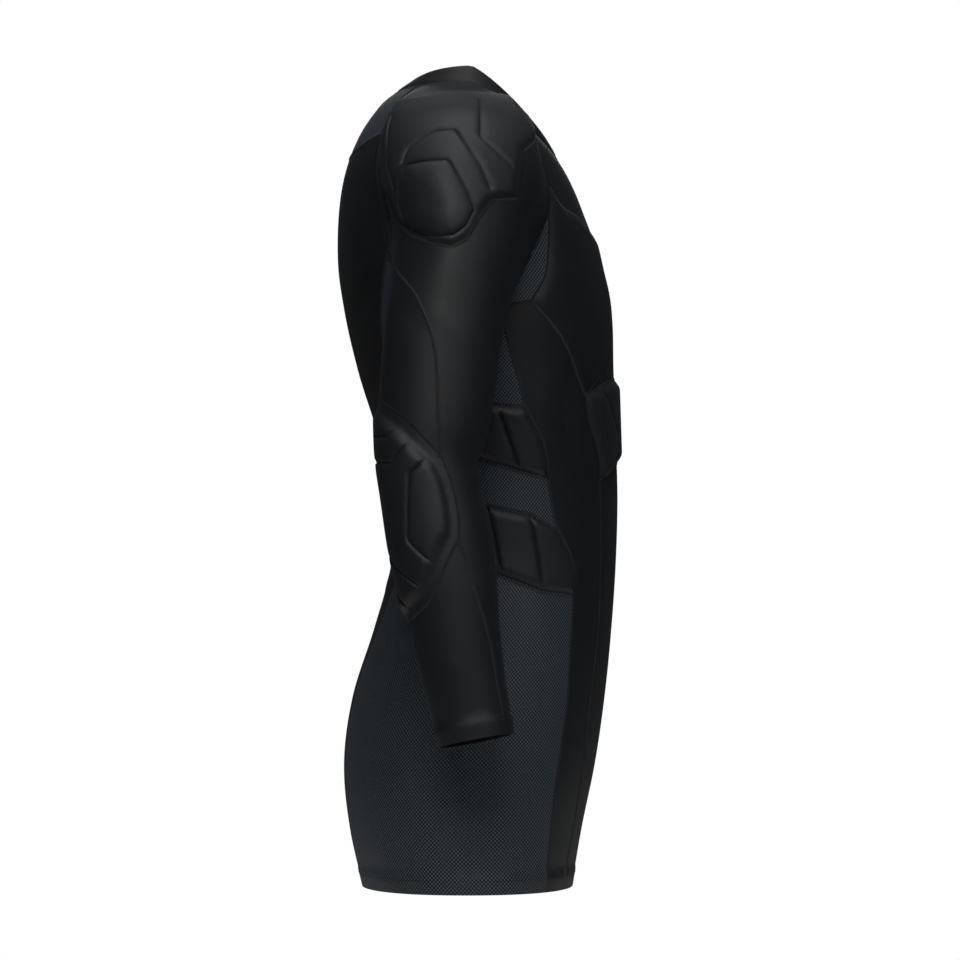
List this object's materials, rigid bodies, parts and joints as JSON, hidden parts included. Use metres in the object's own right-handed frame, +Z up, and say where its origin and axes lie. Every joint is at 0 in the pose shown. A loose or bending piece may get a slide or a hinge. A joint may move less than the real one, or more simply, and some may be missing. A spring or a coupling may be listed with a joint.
{
  "type": "padded compression shirt",
  "caption": "Long-sleeved close-fitting sports undershirt in worn form, with mesh side panels and sewn-in pads at shoulders, chest, ribs, belly and elbows.",
  "frame": {"origin": "middle of the neck opening at the height where the garment lies on the shoulders, which is where the wearer holds it", "axes": "+Z up from the hem to the neck, -Y towards the wearer's front, the wearer's right sleeve at -X"},
  "size_m": [0.5684, 0.2555, 0.7318],
  "materials": {
    "lycra": "smooth close knit with a soft sheen",
    "mesh": "open honeycomb knit",
    "pad": "smooth knit over moulded foam"
  },
  "bodies": {
    "root": {"back_panel": "lycra", "back_yoke": "mesh", "belly_pad": "pad", "chest_panel_left": "lycra", "chest_panel_right": "lycra", "elbow_pad_left": "pad", "elbow_pad_right": "pad", "front_lower": "lycra", "front_upper": "lycra", "neck_band": "lycra", "rib_pad_lower_left": "pad", "rib_pad_lower_right": "pad", "rib_pad_upper_left": "pad", "rib_pad_upper_right": "pad", "shoulder_dome_left": "pad", "shoulder_dome_right": "pad", "shoulder_pad_left": "pad", "shoulder_pad_right": "pad", "side_front_left": "lycra", "side_front_right": "lycra", "side_mesh_left": "mesh", "side_mesh_right": "mesh", "sleeve_back_left": "lycra", "sleeve_back_right": "lycra", "sleeve_front_left": "lycra", "sleeve_front_right": "lycra", "underarm_gusset_left": "mesh", "underarm_gusset_right": "mesh"}
  },
  "joints": []
}
